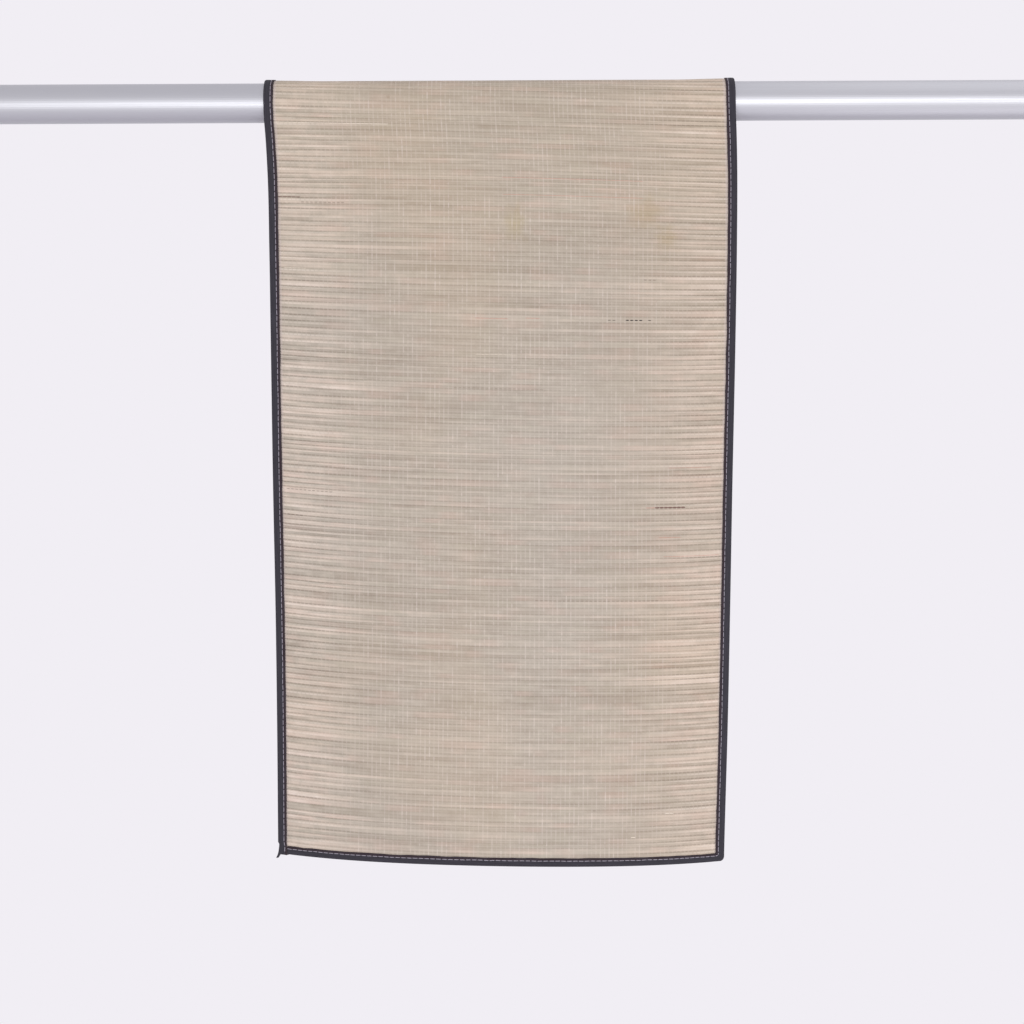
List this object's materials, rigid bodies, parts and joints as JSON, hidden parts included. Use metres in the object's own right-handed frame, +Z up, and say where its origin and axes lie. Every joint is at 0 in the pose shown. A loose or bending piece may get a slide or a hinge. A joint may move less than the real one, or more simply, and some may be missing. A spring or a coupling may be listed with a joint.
{
  "type": "beach mat hung over a rod",
  "caption": "Woven straw beach mat with a sewn cloth tape binding, hung over a plain round metal tube.",
  "frame": {"origin": "on the tube's axis, at the middle of the mat's width", "axes": "+X along the tube to the viewer's right, +Z up, and the long front fall hangs on the -Y side"},
  "size_m": [1.4, 0.125, 1.006],
  "materials": {
    "woven_straw": "natural straw, satin",
    "binding_tape": "matt cotton tape",
    "tube": "drawn, satin"
  },
  "bodies": {
    "root": {"mat": "woven_straw", "binding": "binding_tape", "rod": "tube"}
  },
  "joints": []
}
